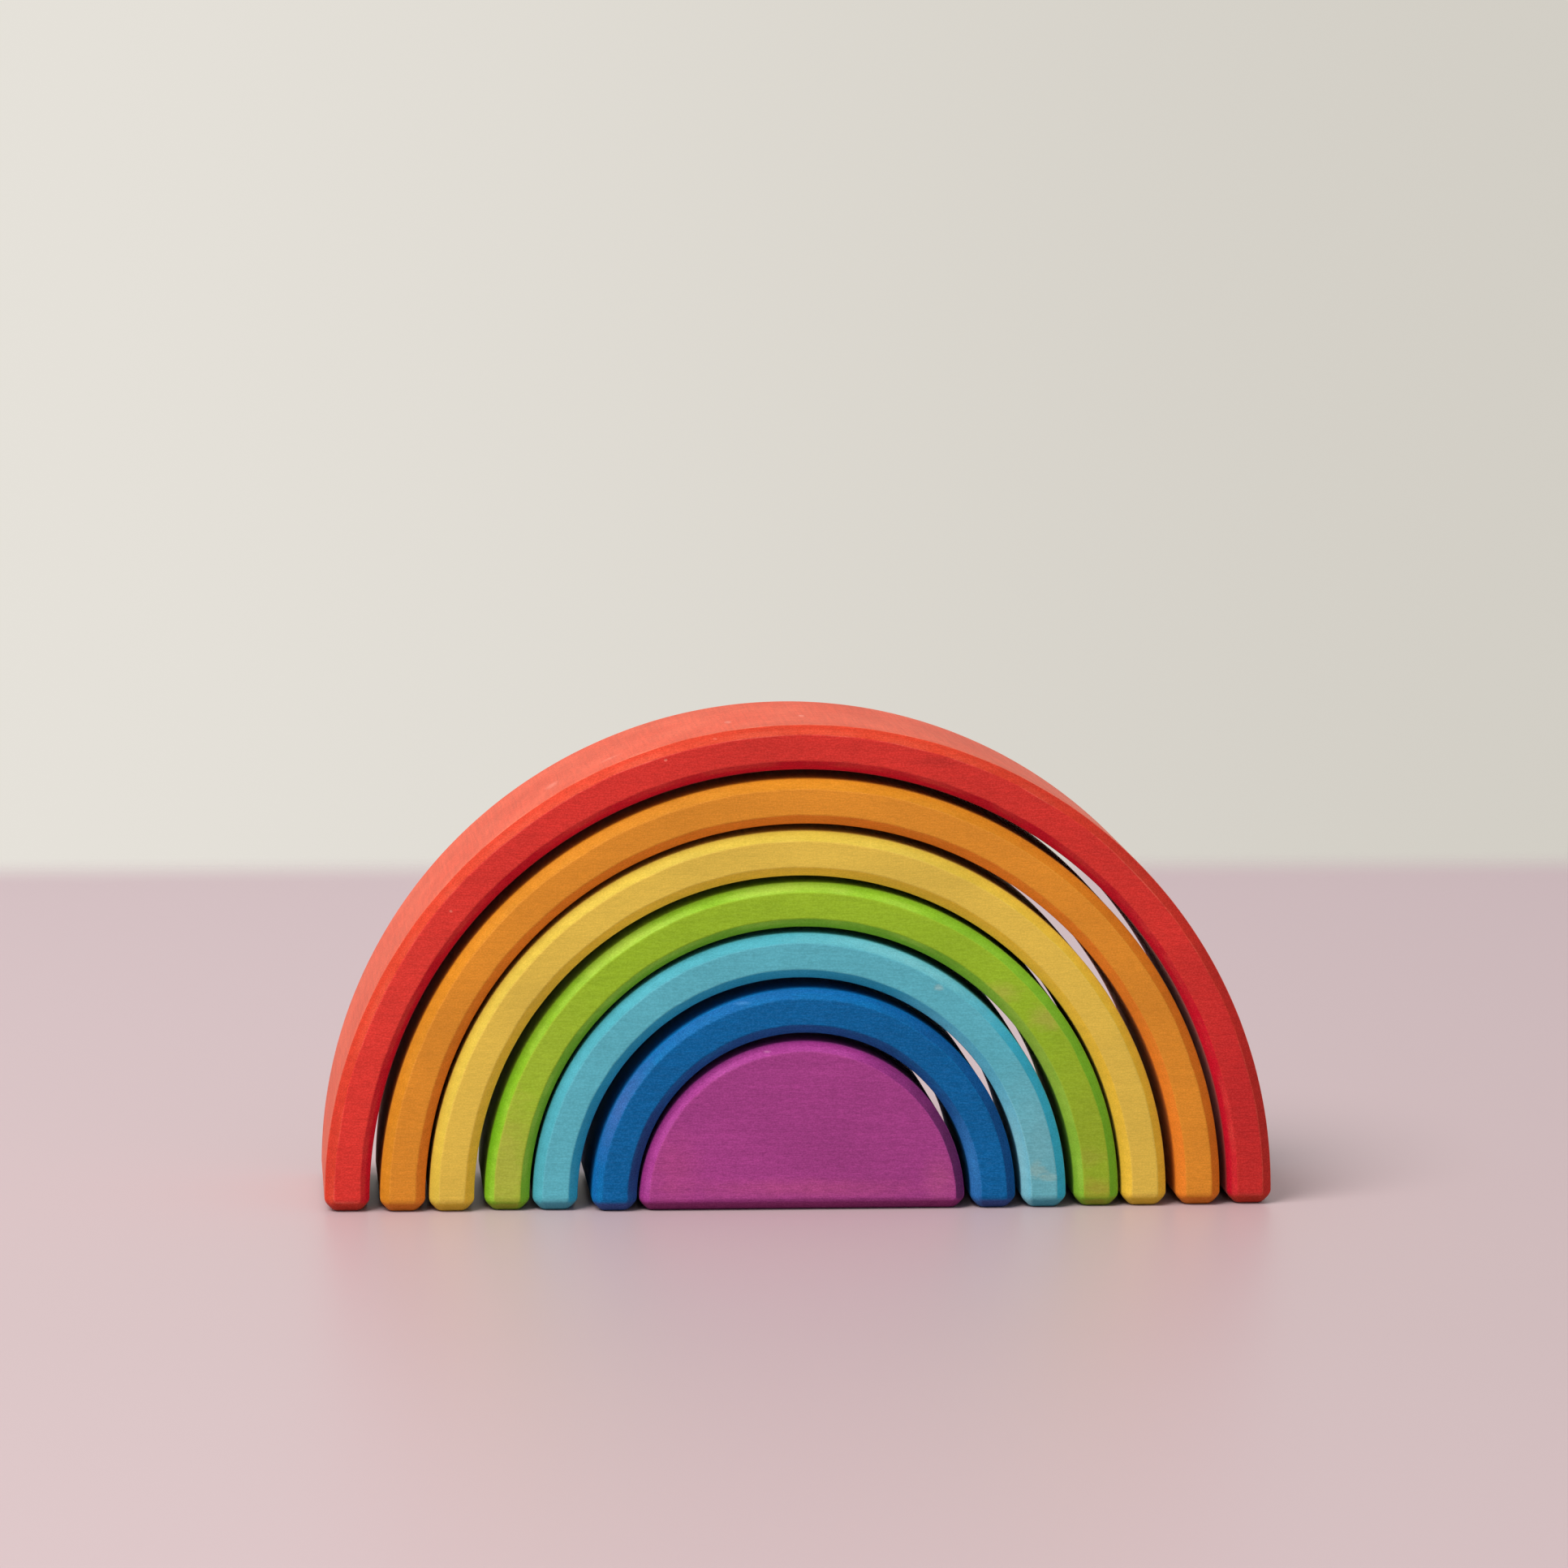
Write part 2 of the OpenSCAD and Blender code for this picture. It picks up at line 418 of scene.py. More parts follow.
# How far handling has thinned the stain of each piece, from 0 to 1, on its bevels, how far a painted sheen
# pales its outer curve, how far handling has thinned its arrises, how much fuzz stands on it, and how far
# painted shade darkens its soles. Hands and shelves touch the outermost arch most.
Handling = namedtuple("Handling", "bevel curve arris fuzz soil")
HANDLED = {
    "red_arch": Handling(0.25, 0.75, 0.6, 0.18, 0.25),
    "orange_arch": Handling(0.1, 0.0, 0.15, 0.03, 0.0),
    "yellow_arch": Handling(0.1, 0.0, 0.15, 0.03, 0.0),
    "green_arch": Handling(0.5, 0.0, 0.15, 0.03, 0.15),
    "sky_blue_arch": Handling(0.1, 0.0, 0.15, 0.03, 0.08),
    "dark_blue_arch": Handling(0.2, 0.0, 0.2, 0.02, 0.2),
    "violet_half_round": Handling(0.2, 0.0, 0.15, 0.03, 0.28),
}

# Places where the stain is deeper or paler, marks of use, and patches of painted light and painted shade:
# the zone that each shows on, its colour, strength and softness from 0 to 1, its angle round the curve in
# degrees from the right, and in millimetres its distances inward from the outer curve and back from the
# front face, its half sizes along X, Y and Z, and how deep it is pressed in
Mark = namedtuple("Mark", "zone colour strength softness angle inset back size dent")
MARKS = {
    "red_arch": (
        # Painted shade on the face of the right leg and painted light on that of the left leg, as the lamp on
        # the left falls off across the arch
        Mark("face", "#B51F25", 0.6, 0.9, 12.0, 4.2, 0.0, (26.0, 3.0, 42.0), 0.0),
        Mark("face", "#DE3C32", 0.7, 0.9, 152.0, 4.2, 0.0, (34.0, 3.0, 46.0), 0.0),
        Mark("outer", "#BE3022", 0.8, 0.9, 172.0, 0.6, 0.9, (14.0, 2.4, 32.0), 0.0),
        Mark("outer", "#F0A493", 0.35, 0.8, 121.2, 0.0, 15.4, (1.8, 3.4, 1.8), 0.05),
        Mark("outer", "#F0A493", 0.3, 0.8, 113.5, 0.0, 11.5, (3.2, 1.4, 1.8), 0.05),
        Mark("outer", "#F0A493", 0.4, 0.6, 98.5, 0.0, 14.8, (0.8, 2.2, 0.8), 0.1),
        Mark("outer", "#F0A493", 0.4, 0.6, 89.5, 0.0, 16.8, (0.7, 2.2, 0.7), 0.1),
        Mark("outer", "#F0A48E", 0.5, 0.6, 100.9, 0.9, 0.4, (0.9, 0.8, 0.35), 0.12),
        Mark("face", "#EE9A86", 0.4, 0.6, 107.3, 2.5, 0.0, (0.4, 0.4, 0.3), 0.1),
        Mark("face", "#EE9A86", 0.4, 0.6, 140.2, 3.8, 0.0, (0.4, 0.4, 0.3), 0.1),
        Mark("face", "#A32723", 0.35, 0.7, 73.3, 3.2, 0.0, (6.5, 1.5, 1.5), 0.0),
    ),
    "green_arch": (
        # Painted shade on the face of the right leg and painted light on that of the left leg, as the lamp on
        # the left falls off across the arch
        Mark("face", "#90A428", 0.8, 0.9, 12.0, 4.2, 0.0, (14.0, 2.0, 26.0), 0.0),
        Mark("face", "#A4BA38", 0.5, 0.9, 152.0, 4.2, 0.0, (16.0, 2.0, 22.0), 0.0),
        Mark("face", "#B7B04C", 0.6, 0.8, 173.6, 3.9, 0.0, (8.0, 1.0, 18.0), 0.0),
        Mark("face", "#ABA448", 0.6, 0.7, 36.6, 2.6, 0.0, (4.5, 0.9, 3.2), 0.0),
        Mark("face", "#B0A84A", 0.5, 0.7, 46.2, 6.0, 0.0, (4.5, 0.9, 2.4), 0.0),
        Mark("face", "#A49C3E", 0.3, 0.7, 8.0, 5.0, 0.0, (5.0, 0.9, 2.2), 0.0),
        Mark("face", "#B0983C", 0.5, 0.8, 1.5, 4.2, 0.0, (5.0, 0.9, 2.6), 0.0),
        Mark("outer", "#B6CF50", 0.5, 0.8, 94.0, 0.6, 0.9, (15.0, 1.8, 3.0), 0.0),
        Mark("outer", "#B6CF50", 0.5, 0.8, 126.0, 0.6, 0.9, (13.0, 1.8, 9.0), 0.0),
        Mark("outer", "#66B80C", 0.6, 0.9, 168.0, 0.2, 1.5, (10.0, 1.8, 30.0), 0.0),
        Mark("outer", "#9F8E32", 0.6, 0.7, 181.2, 4.2, 0.9, (5.0, 2.0, 1.5), 0.0),
        Mark("outer", "#9F8E32", 0.6, 0.7, -1.2, 4.2, 0.9, (5.0, 2.0, 1.5), 0.0),
        # Painted light on the inner bevels of the right leg, which face the lamp
        Mark("inner", "#A6C046", 0.65, 0.95, 28.0, 8.6, 1.2, (22.0, 3.0, 34.0), 0.0),
    ),
    "sky_blue_arch": (
        Mark("face", "#A9BBA6", 0.45, 0.5, 6.6, 5.2, 0.0, (2.0, 0.9, 2.0), 0.0),
        Mark("face", "#A9BBA6", 0.4, 0.5, 4.7, 3.9, 0.0, (2.6, 0.9, 1.0), 0.0),
        Mark("face", "#76A8B0", 0.5, 0.9, 12.0, 4.2, 0.0, (12.0, 2.0, 22.0), 0.0),
        # Painted light on the inner bevels of the right leg, which face the lamp
        Mark("inner", "#8CCCD8", 0.9, 0.95, 8.0, 9.0, 1.6, (10.0, 4.0, 30.0), 0.0),
        Mark("inner", "#70CAE0", 0.9, 0.95, 44.0, 9.0, 1.6, (16.0, 4.0, 20.0), 0.0),
        # Painted light on the outer bevel at the upper right, where the light from above right falls
        Mark("outer", "#7CC4CE", 0.75, 0.9, 64.0, 0.6, 0.9, (28.0, 2.4, 20.0), 0.0),
        Mark("face", "#A9C0BA", 0.45, 0.6, 57.5, 2.8, 0.0, (1.3, 0.9, 0.7), 0.08),
    ),
    "dark_blue_arch": (
        Mark("outer", "#4F93CF", 0.35, 0.7, 108.0, 0.7, 0.9, (2.6, 0.7, 0.5), 0.1),
        Mark("outer", "#3C62A4", 0.7, 0.9, 152.0, 0.6, 0.9, (9.0, 2.4, 14.0), 0.0),
        # Painted light on the inner bevel of the right leg, which faces the lamp
        Mark("inner", "#3480C4", 0.7, 0.9, 14.0, 7.6, 0.9, (5.0, 2.0, 18.0), 0.0),
        Mark("inner", "#243368", 0.6, 0.9, 165.0, 7.8, 0.9, (6.0, 2.0, 24.0), 0.0),
    ),
    "violet_half_round": (
        Mark("face", "#B4507F", 0.4, 0.8, 90.0, 27.9, 0.0, (29.0, 1.6, 2.4), 0.0),
        # Painted shade: a dark line along the bottom of the face, standing in for the shading of a larger
        # bottom bevel
        Mark("face", "#7A2A62", 0.5, 0.7, 90.0, 30.4, 0.0, (32.0, 1.6, 1.0), 0.0),
        Mark("face", "#B24A82", 0.4, 0.8, 164.0, 5.4, 0.0, (6.5, 1.6, 9.0), 0.0),
        Mark("face", "#B85A84", 0.35, 0.9, 10.0, 4.4, 0.0, (4.5, 1.6, 6.0), 0.0),
        Mark("outer", "#D9A0C4", 0.4, 0.6, 103.5, 0.9, 0.4, (1.1, 0.8, 0.4), 0.1),
    ),
}


def add(tree, kind, inputs=None, **settings):
    """Adds a node with its settings, values and links. A node as a value is linked by its output in use."""
    node = tree.nodes.new(kind)
    for name, value in settings.items():
        setattr(node, name, value)
    for name, value in (inputs or {}).items():
        sockets = [s for s in node.inputs if s.enabled and s.name == name] or [node.inputs[name]]
        if isinstance(value, bpy.types.Node):
            value = next(s for s in value.outputs if s.enabled)
        if isinstance(value, bpy.types.NodeSocket):
            tree.links.new(value, sockets[0])
        else:
            sockets[0].default_value = value
    return node


def opaque(colour):
    """A colour with full alpha."""
    return (*colour, 1.0)


def stain_of(stains, node):
    """Colours of the stain on a piece, as it was laid on, where it is thinner or deeper, and where it paints
    shade or sheen.
    """
    face, edge, right = (getattr(stains, node + zone) for zone in ("_face", "_edge", "_right"))
    inside = edge if node == BLOCK else getattr(stains, node + "_inside")
    # A stain of a share of the depth lets that power of its colour through
    worn, bare, deep, fuzz = (
        tuple(channel ** depth for channel in edge)
        for depth in (stains.wear_and_sheen_depth, stains.bare_depth, stains.sole_shade_depth, stains.fuzz_depth))
    # The soles are painted shade: the stain deepened, with a little dirt mixed in
    clean = 1 - stains.dirt_share
    sole = tuple(clean * channel + stains.dirt_share * dirt for channel, dirt in zip(deep, stains.dirt))
    return Stain(face, edge, inside, right, worn, bare, sole, fuzz)


def read_surface(tree, place):
    """Nodes for the place on a piece in its own frame, and for the way that the surface looks there."""
    coords = add(tree, "ShaderNodeTexCoord")
    rotation = (0, 0, place.turn)
    where = add(tree, "ShaderNodeMapping", {
        "Vector": coords.outputs["Object"], "Location": place.centre, "Rotation": rotation},
        vector_type="TEXTURE")
    normal = add(tree, "ShaderNodeMapping", {
        "Vector": coords.outputs["Normal"], "Rotation": rotation}, vector_type="TEXTURE")
    offset = add(tree, "ShaderNodeSeparateXYZ", {"Vector": where})
    lean = add(tree, "ShaderNodeSeparateXYZ", {"Vector": normal})
    facing = add(tree, "ShaderNodeMath", {0: lean.outputs["Y"]}, operation="ABSOLUTE")
    flat = add(tree, "ShaderNodeVectorMath", {0: where, 1: (1, 0, 1)}, operation="MULTIPLY")
    radial = add(tree, "ShaderNodeVectorMath", {0: flat}, operation="NORMALIZE")
    outward = add(tree, "ShaderNodeVectorMath", {0: radial, 1: normal}, operation="DOT_PRODUCT")
    return Surface(where, offset, lean, facing, outward)


def find_zones(tree, surface, place, shape):
    """Nodes for how far a point belongs to each zone of a piece, from 0 to 1."""
    face = add(tree, "ShaderNodeMapRange", {
        "Value": surface.facing, "From Min": FACE_ZONE[0], "From Max": FACE_ZONE[1]})
    curve = add(tree, "ShaderNodeMapRange", {
        "Value": surface.outward, "From Min": CURVE_ZONE[0], "From Max": CURVE_ZONE[1]})
    inner = add(tree, "ShaderNodeMapRange", {
        "Value": surface.outward, "From Min": INNER_ZONE[0], "From Max": INNER_ZONE[1]})
    not_inner = add(tree, "ShaderNodeMath", {0: 1.0, 1: inner}, operation="SUBTRACT")
    outer = add(tree, "ShaderNodeMath", {0: not_inner, 1: face}, operation="SUBTRACT")

    bevel = add(tree, "ShaderNodeMath", {
        0: surface.facing, 1: BEVEL_FACING, 2: BEVEL_SPREAD}, operation="COMPARE")
    outer_bevel = add(tree, "ShaderNodeMath", {0: bevel, 1: not_inner}, operation="MULTIPLY")
    rightward = add(tree, "ShaderNodeMapRange", {
        "Value": surface.lean.outputs["X"], "From Min": RIGHT_ZONE[0], "From Max": RIGHT_ZONE[1]})
    right_bevel = add(tree, "ShaderNodeMath", {0: outer_bevel, 1: rightward}, operation="MULTIPLY")

    # The half of a bevel next to the face is rubbed, but not on the right outer bevels, which keep their
    # painted shade
    depth = add(tree, "ShaderNodeMath", {0: surface.offset.outputs["Y"]}, operation="ABSOLUTE")
    near_face = add(tree, "ShaderNodeMapRange", {
        "Value": depth, "From Min": place.depth / 2 - RUB_DEPTH[0] * shape.edge_bevel,
        "From Max": place.depth / 2 - RUB_DEPTH[1] * shape.edge_bevel})
    other_bevel = add(tree, "ShaderNodeMath", {0: bevel, 1: right_bevel}, operation="SUBTRACT")
    rubbed_bevel = add(tree, "ShaderNodeMath", {0: near_face, 1: other_bevel}, operation="MULTIPLY")

    any_arris = add(tree, "ShaderNodeValToRGB", {"Fac": surface.facing})
    # A ramp comes with two stops
    for position, _ in ARRIS_STOPS[2:]:
        any_arris.color_ramp.elements.new(position)
    for element, (position, level) in zip(any_arris.color_ramp.elements, ARRIS_STOPS):
        element.position = position
        element.color = opaque((level, level, level))
    arris = add(tree, "ShaderNodeMath", {0: any_arris, 1: not_inner}, operation="MULTIPLY")

    by_table = add(tree, "ShaderNodeMapRange", {
        "Value": surface.offset.outputs["Z"], "From Min": SOLE_HEIGHT[0] * shape.edge_bevel - place.height,
        "From Max": SOLE_HEIGHT[1] * shape.edge_bevel - place.height})
    downward = add(tree, "ShaderNodeMapRange", {
        "Value": surface.lean.outputs["Z"], "From Min": SOLE_ZONE[0], "From Max": SOLE_ZONE[1]})
    sole = add(tree, "ShaderNodeMath", {0: by_table, 1: downward}, operation="MULTIPLY")
    return Zones(face, outer, inner, right_bevel, rubbed_bevel, curve, arris, sole)


def draw_grain(tree, surface, seed):
    """Nodes for the patterns in the wood, with every piece at its own place on the board."""
    board = [seed * step for step in BOARD_STEP]
    grain = {}
    for name, pattern in PATTERNS.items():
        scaled = add(tree, "ShaderNodeMapping", {
            "Vector": surface.where, "Location": board, "Scale": [1 / (size * MM) for size in pattern.size]})
        grain[name] = add(tree, "ShaderNodeTexNoise", {
            "Vector": scaled, "Scale": 1.0, "Detail": pattern.detail, "Distortion": pattern.distortion})
    return grain


def draw_rings(tree, surface, zones, seed):
    """Node for the growth rings, which lie around a pith along X below the board, as a part of the colour."""
    away = [start + seed * step for start, step in zip(FROM_PITH, FROM_PITH_STEP)]
    pith = add(tree, "ShaderNodeMapping", {
        "Vector": surface.where, "Location": away, "Scale": (RING_DRIFT, 1, 1)})
    rings = add(tree, "ShaderNodeTexWave", {
        "Vector": pith, "Scale": WAVE_LENGTH / RING_SPACING, "Distortion": 2.5, "Detail": 2.0,
        "Detail Scale": 0.8}, wave_type="RINGS", rings_direction="X")
    spread = add(tree, "ShaderNodeMapRange", {
        "Value": zones.face, "To Min": RING_SPREAD[0], "To Max": RING_SPREAD[1]})
    centred = add(tree, "ShaderNodeMath", {0: rings, 1: 0.5}, operation="SUBTRACT")
    return add(tree, "ShaderNodeMath", {0: centred, 1: spread, 2: 1.0}, operation="MULTIPLY_ADD")


def draw_saw_marks(tree, surface, place, seed):
    """Node for the saw marks, strongest on the curves, fainter on the bevels and sanded off the faces."""
    offset = surface.offset.outputs
    angle = add(tree, "ShaderNodeMath", {0: offset["Z"], 1: offset["X"]}, operation="ARCTAN2")
    along = add(tree, "ShaderNodeMath", {0: angle, 1: place.radius / SAW_STEP}, operation="MULTIPLY")
    across = add(tree, "ShaderNodeMath", {0: offset["Y"], 1: 1 / SAW_LENGTH}, operation="MULTIPLY")
    unrolled = add(tree, "ShaderNodeCombineXYZ", {"X": along, "Y": across, "Z": seed})
    lines = add(tree, "ShaderNodeTexNoise", {
        "Vector": unrolled, "Scale": 1.0, "Detail": 2.0, "Distortion": 0.3})
    centred = add(tree, "ShaderNodeMapRange", {
        "Value": lines, "From Min": NOISE_RANGE[0], "From Max": NOISE_RANGE[1],
        "To Min": -1.0, "To Max": 1.0})
    spread = add(tree, "ShaderNodeMapRange", {"Value": surface.facing, "To Min": SAW_SPREAD, "To Max": 0.0})
    return add(tree, "ShaderNodeMath", {0: centred, 1: spread}, operation="MULTIPLY")


def shade_wood(tree, zones, grain, rings, saw_marks, stain, handled):
    """Node for all that is dark and light in the wood, with the painted shade of the soles, as a part of the
    stain's colour.
    """
    sawn = add(tree, "ShaderNodeMath", {0: saw_marks, 1: 1.0}, operation="ADD")
    tone = add(tree, "ShaderNodeMath", {0: rings, 1: sawn}, operation="MULTIPLY")
    # Deep stains show more of the grain than pale ones, but as much of the clouds
    brightness = sum(part * channel for part, channel in zip(BRIGHTNESS, stain.face))
    contrast = math.sqrt(MIDDLE_TONE / brightness)
    for name, pattern in PATTERNS.items():
        if not pattern.spread:
            continue
        spread = pattern.spread if name == "clouds" else pattern.spread * contrast
        level = add(tree, "ShaderNodeMapRange", {
            "Value": grain[name], "From Min": NOISE_RANGE[0], "From Max": NOISE_RANGE[1],
            "To Min": 1 - spread, "To Max": 1 + spread})
        tone = add(tree, "ShaderNodeMath", {0: tone, 1: level}, operation="MULTIPLY")
    # Painted shade: the bevels under the feet, which face down to the table, are darkened
    soil = add(tree, "ShaderNodeMath", {0: zones.sole, 1: -handled.soil, 2: 1.0}, operation="MULTIPLY_ADD")
    return add(tree, "ShaderNodeMath", {0: tone, 1: soil}, operation="MULTIPLY")


def stain_wood(tree, zones, grain, stain, handled):
    """Node for the stain's colour in every zone, rubbed paler in patches where the piece is handled, with
    painted shade on the inner edges, right outer bevels and soles, and a painted sheen on the outer curve.
    """
    # The right outer bevels take their painted shade colour
    outer = add(tree, "ShaderNodeMix", {
        "Factor": zones.right_bevel, "A": opaque(stain.edge), "B": opaque(stain.right)}, data_type="RGBA")
    # The inner edges take the inside colour, which partly paints in their shade
    colour = add(tree, "ShaderNodeMix", {
        "Factor": zones.inner, "A": outer, "B": opaque(stain.inside)}, data_type="RGBA")
    for zone, shown_colour, least, most in (
            (zones.rubbed_bevel, stain.worn, 0.0, handled.bevel),
            # On the outer curve the worn colour is a painted sheen
            (zones.curve, stain.worn, CURVE_SHEEN_LEAST * handled.curve, handled.curve),
            (zones.face, stain.face, 1.0, 1.0),
            (zones.arris, stain.bare, 0.0, handled.arris),
            # On the soles the colour is painted shade
            (zones.sole, stain.sole, 1.0, 1.0)):
        patchy = add(tree, "ShaderNodeMapRange", {
            "Value": grain["patches"], "From Min": PATCH_RANGE[0], "From Max": PATCH_RANGE[1],
            "To Min": least, "To Max": most})
        shown = add(tree, "ShaderNodeMath", {0: zone, 1: patchy}, operation="MULTIPLY")
        colour = add(tree, "ShaderNodeMix", {
            "Factor": shown, "A": colour, "B": opaque(shown_colour)}, data_type="RGBA")
    return colour


def mark_wood(tree, surface, zones, grain, place, marks, colour, height):
    """Nodes for the colour and height with the marks: ellipsoids in the wood, the hard ones ragged."""
    ragged = add(tree, "ShaderNodeMapRange", {
        "Value": grain["ragged"], "From Min": NOISE_RANGE[0], "From Max": NOISE_RANGE[1],
        "To Min": -RAGGED_REACH, "To Max": RAGGED_REACH})
    for mark in marks:
        scale = [1 / (size * MM) for size in mark.size]
        centre = on_curve(mark.angle, place.radius - mark.inset * MM, mark.back * MM - place.depth / 2)
        around = add(tree, "ShaderNodeMapping", {
            "Vector": surface.where, "Location": [-c * s for c, s in zip(centre, scale)], "Scale": scale})
        reach = add(tree, "ShaderNodeVectorMath", {0: around}, operation="LENGTH")
        ragged_reach = add(tree, "ShaderNodeMath", {
            0: ragged, 1: 1.0 - mark.softness, 2: reach}, operation="MULTIPLY_ADD")
        strength = add(tree, "ShaderNodeMapRange", {
            "Value": ragged_reach, "From Min": 1.0 - mark.softness, "From Max": 1.0,
            "To Min": mark.strength, "To Max": 0.0})
        shown = add(tree, "ShaderNodeMath", {
            0: strength, 1: getattr(zones, mark.zone)}, operation="MULTIPLY")
        colour = add(tree, "ShaderNodeMix", {
            "Factor": shown, "A": colour, "B": opaque(linear(mark.colour))}, data_type="RGBA")
        if mark.dent:
            height = add(tree, "ShaderNodeMath", {
                0: shown, 1: -mark.dent * MM, 2: height}, operation="MULTIPLY_ADD")
    return colour, height


def stained_limewood(name, node, stain, place, shape, seed):
    """Limewood, sawn from a board, bevelled, sanded and stained with thin water colour, then oiled.

    The fibres run along the width and show as short fine dashes, and the growth rings show as faint bows
    where the curves cut across them. The stain is deeper and cleaner in the sawn edges than on the planed
    faces, dries in soft clouds, and is rubbed thin along the arrises. The outer curve is paled as a painted
    sheen, and the inner edges, the right outer bevels and the soles carry painted shade. The oil leaves
    hardly any gloss.
    """
    material = bpy.data.materials.new(name)
    material.use_nodes = True
    tree = material.node_tree
    tree.nodes.clear()
    handled = HANDLED[node]
    surface = read_surface(tree, place)
    zones = find_zones(tree, surface, place, shape)
    grain = draw_grain(tree, surface, seed)
    rings = draw_rings(tree, surface, zones, seed)
    saw_marks = draw_saw_marks(tree, surface, place, seed)
    tone = shade_wood(tree, zones, grain, rings, saw_marks, stain, handled)
    colour = stain_wood(tree, zones, grain, stain, handled)
    fibre_height = add(tree, "ShaderNodeMath", {0: grain["fibres"], 1: FIBRE_RELIEF}, operation="MULTIPLY")
    height = add(tree, "ShaderNodeMath", {
        0: saw_marks, 1: SAW_RELIEF, 2: fibre_height}, operation="MULTIPLY_ADD")
    colour, height = mark_wood(
        tree, surface, zones, grain, place, MARKS.get(node, ()), colour, height)

    # Pale fibre ends stand out of the darkest stains
    pale_ends = add(tree, "ShaderNodeMapRange", {
        "Value": grain["pores"], "From Min": PALE_RANGE[0], "From Max": PALE_RANGE[1],
        "To Min": 0.0, "To Max": PALE_ENDS})
    grained = add(tree, "ShaderNodeVectorMath", {0: colour, 1: tone, 2: pale_ends}, operation="MULTIPLY_ADD")
    relief = add(tree, "ShaderNodeBump", {"Height": height, "Strength": 1.0, "Distance": 1.0})
    roughness = add(tree, "ShaderNodeMapRange", {
        "Value": grain["fibres"], "From Min": NOISE_RANGE[0], "From Max": NOISE_RANGE[1],
        "To Min": WOOD_ROUGHNESS[0], "To Max": WOOD_ROUGHNESS[1]})
    wood = add(tree, "ShaderNodeBsdfPrincipled", {
        "Base Color": grained, "Roughness": roughness, "Specular IOR Level": WOOD_GLOSS,
        "Sheen Weight": handled.fuzz, "Sheen Roughness": FUZZ_ROUGHNESS, "Sheen Tint": opaque(stain.fuzz),
        "Normal": relief})
    add(tree, "ShaderNodeOutputMaterial", {"Surface": wood})
    return material


def painted_table(stage):
    """Table top in pale satin paint with a soft reflection and painted light that makes it lighter towards
    the back, which fades into the wall at its rim.
    """
    material = bpy.data.materials.new("pale_satin_paint")
    material.use_nodes = True
    tree = material.node_tree
    tree.nodes.clear()
    coords = add(tree, "ShaderNodeTexCoord")
    place = add(tree, "ShaderNodeSeparateXYZ", {"Vector": coords.outputs["Object"]})
    # Painted light: the colour grows lighter towards the back
    back = add(tree, "ShaderNodeMapRange", {
        "Value": place.outputs["Y"], "From Min": TABLE_CHANGE[0] * stage.table_reach,
        "From Max": TABLE_CHANGE[1] * stage.table_reach})
    colour = add(tree, "ShaderNodeMix", {
        "Factor": back, "A": opaque(stage.table_colour), "B": opaque(stage.table_far)}, data_type="RGBA")
    size = add(tree, "ShaderNodeVectorMath", {0: coords.outputs["Object"]}, operation="ABSOLUTE")
    sides = add(tree, "ShaderNodeSeparateXYZ", {"Vector": size})
    reach = add(tree, "ShaderNodeMath", {
        0: sides.outputs["X"], 1: sides.outputs["Y"]}, operation="MAXIMUM")
    fade = add(tree, "ShaderNodeMapRange", {
        "Value": reach, "From Min": TABLE_FADE[0] * stage.table_reach,
        "From Max": TABLE_FADE[1] * stage.table_reach}, interpolation_type="SMOOTHSTEP")
    paint = add(tree, "ShaderNodeBsdfPrincipled", {
        "Base Color": colour, "Roughness": PAINT_ROUGHNESS, "IOR": PAINT_IOR})
    beyond = add(tree, "ShaderNodeBsdfTransparent")
    surface = add(tree, "ShaderNodeMixShader", {0: fade, 1: paint, 2: beyond})
    add(tree, "ShaderNodeOutputMaterial", {"Surface": surface})
    return material


# Pieces

def slot_of(node):
    """The record's material slot of a node."""
    for part in frame["record"]["subparts"]:
        if part["node"] == node:
            return part["material_slot"]
    raise ValueError("no material slot for " + node)


def finish_piece(context, bm, node, place):
    """Bevels, sands, rounds and stains a block of wood, and makes it the piece that stands for its node."""
    shape = context.scene.stacker_shape
    seed = 1 + list(frame["nodes"]).index(node)
    bevel_all_edges(bm, shape.edge_bevel)
    sand_bevels(bm, place, shape, seed)
    bmesh.ops.recalc_face_normals(bm, faces=bm.faces)
    weigh_arrises(bm, place, shape)
    bmesh.ops.transform(bm, matrix=place.in_nest(), verts=bm.verts)
    for face in bm.faces:
        face.smooth = True
    mesh = bpy.data.meshes.new("stained_" + node)
    bm.to_mesh(mesh)
    bm.free()
    piece = bpy.data.objects.new("stained_" + node, mesh)
    context.scene.collection.objects.link(piece)
    stain = stain_of(context.scene.stacker_stains, node)
    name = "stained_limewood_" + slot_of(node)
    piece.data.materials.append(stained_limewood(name, node, stain, place, shape, seed))
    rounding = piece.modifiers.new("Arrises", "BEVEL")
    rounding.limit_method = "WEIGHT"
    rounding.width = shape.foot_round
    rounding.segments = ROUND_FACETS
    rounding.profile = 0.5
    true_normals = piece.modifiers.new("True faces", "WEIGHTED_NORMAL")
    true_normals.weight = FACE_WEIGHT
    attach(piece, node)
    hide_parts(node)


class STACKER_OT_arches(bpy.types.Operator):
    """Build the nested arches"""

    bl_idname = "stacker.arches"
    bl_label = "Arches"

    def execute(self, context):
        shape = context.scene.stacker_shape
        for node in ARCHES:
            place = Place(node, shape)
            inner = place.radius - shape.arch_thickness
            half = place.depth / 2
            bm = bmesh.new()
            corners = ((inner, -half), (place.radius, -half), (place.radius, half), (inner, half))
            for foot in spin_half_round(bm, place, corners, shape):
                bmesh.ops.contextual_create(bm, geom=foot)
            finish_piece(context, bm, node, place)
        return {"FINISHED"}


